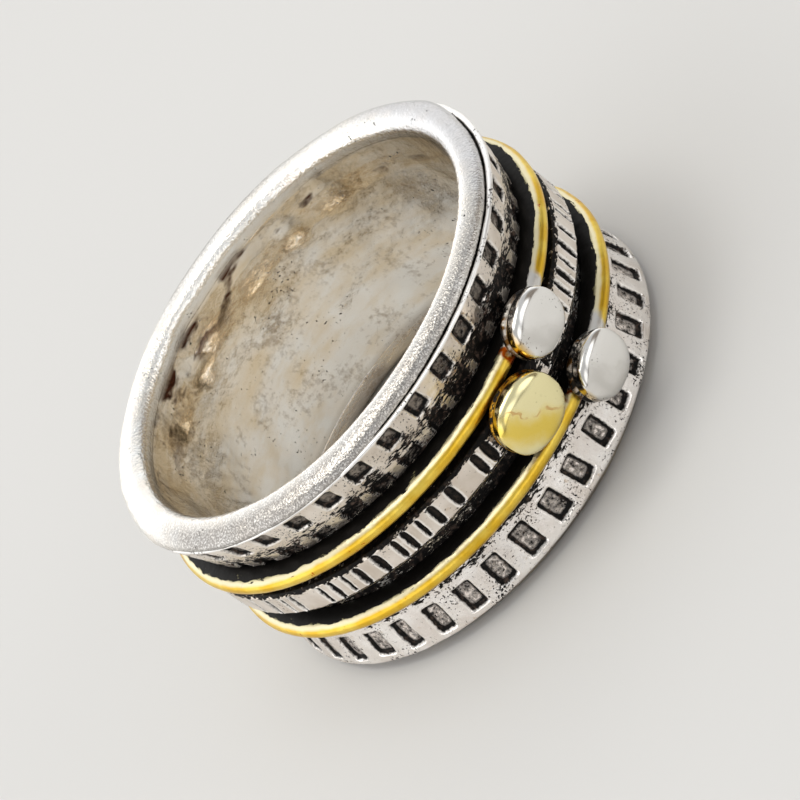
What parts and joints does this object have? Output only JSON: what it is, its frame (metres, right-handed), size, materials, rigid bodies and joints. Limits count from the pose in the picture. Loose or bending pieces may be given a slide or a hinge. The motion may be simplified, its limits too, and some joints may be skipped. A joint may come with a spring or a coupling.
{
  "type": "spinner ring",
  "caption": "Wide silver finger ring with dented shoulders, two gold half-round spinning rings, a ticked flat spinning ring between them, and oval beads on the spinners.",
  "frame": {"origin": "centre of the finger hole, half-way along the band", "axes": "+Z along the finger hole's axis, towards the front end; -Y towards the beads; the ring lies on its back end, at -Z"},
  "size_m": [0.0214, 0.0226, 0.0104],
  "materials": {
    "silver": "hand-worked silver, satin to bright, with darkened recesses, fine pits and a few ochre stains",
    "gold": "polished gold-coloured metal with darkened flanks, fading to silver beside the silver beads"
  },
  "bodies": {
    "band": {"band": "silver"},
    "middle": {"middle_spinner": "silver"},
    "front": {"front_spinner": "gold"},
    "back": {"back_spinner": "gold"}
  },
  "joints": [
    {"name": "middle_spin", "type": "hinge", "parent": "band", "child": "middle", "pos_m": [0, 0, 0], "axis": [0, 0, 1], "continuous": true},
    {"name": "front_spin", "type": "hinge", "parent": "middle", "child": "front", "pos_m": [0, 0, 0], "axis": [0, 0, 1], "range_deg": [-2, 330]},
    {"name": "back_spin", "type": "hinge", "parent": "middle", "child": "back", "pos_m": [0, 0, 0], "axis": [0, 0, 1], "range_deg": [-6.5, 332]}
  ]
}
